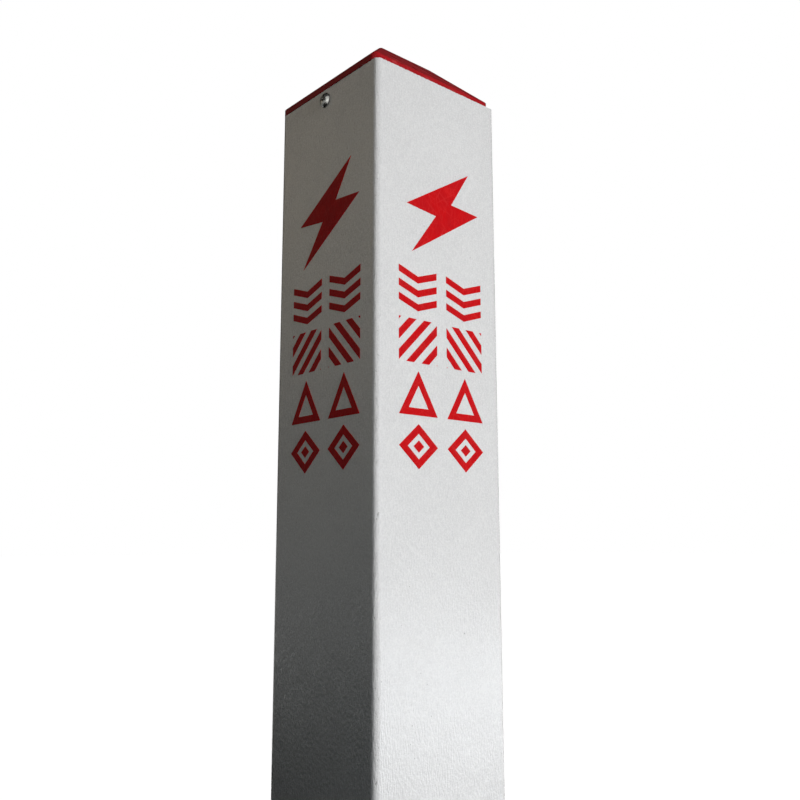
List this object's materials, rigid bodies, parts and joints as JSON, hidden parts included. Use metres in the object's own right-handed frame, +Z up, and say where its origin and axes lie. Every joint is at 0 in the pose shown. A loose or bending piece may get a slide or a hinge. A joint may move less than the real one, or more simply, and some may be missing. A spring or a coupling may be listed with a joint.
{
  "type": "cable marker post",
  "caption": "Square hollow fibreglass post that marks a buried power cable, with a hipped moulded cap held by screws and printed lightning bolts.",
  "frame": {"origin": "centre of the post's saw-cut lower end, which stands on the ground", "axes": "+Z up the post, -Y out of the front printed face, -X out of the side printed face"},
  "size_m": [0.1062, 0.1005, 1.0298],
  "materials": {
    "fibreglass": "white gelcoat, satin, with the glass mat showing through as a fine relief",
    "cap_plastic": "moulded red, glossy, lightly scuffed",
    "screw_steel": "bright plated steel",
    "ink": "screen-printed red ink that follows the relief under it"
  },
  "bodies": {
    "root": {"post_tube": "fibreglass", "cap": "cap_plastic", "cap_screws": "screw_steel", "front_bolt": "ink", "side_bolt": "ink", "front_blocks": "ink", "side_blocks": "ink"}
  },
  "joints": []
}
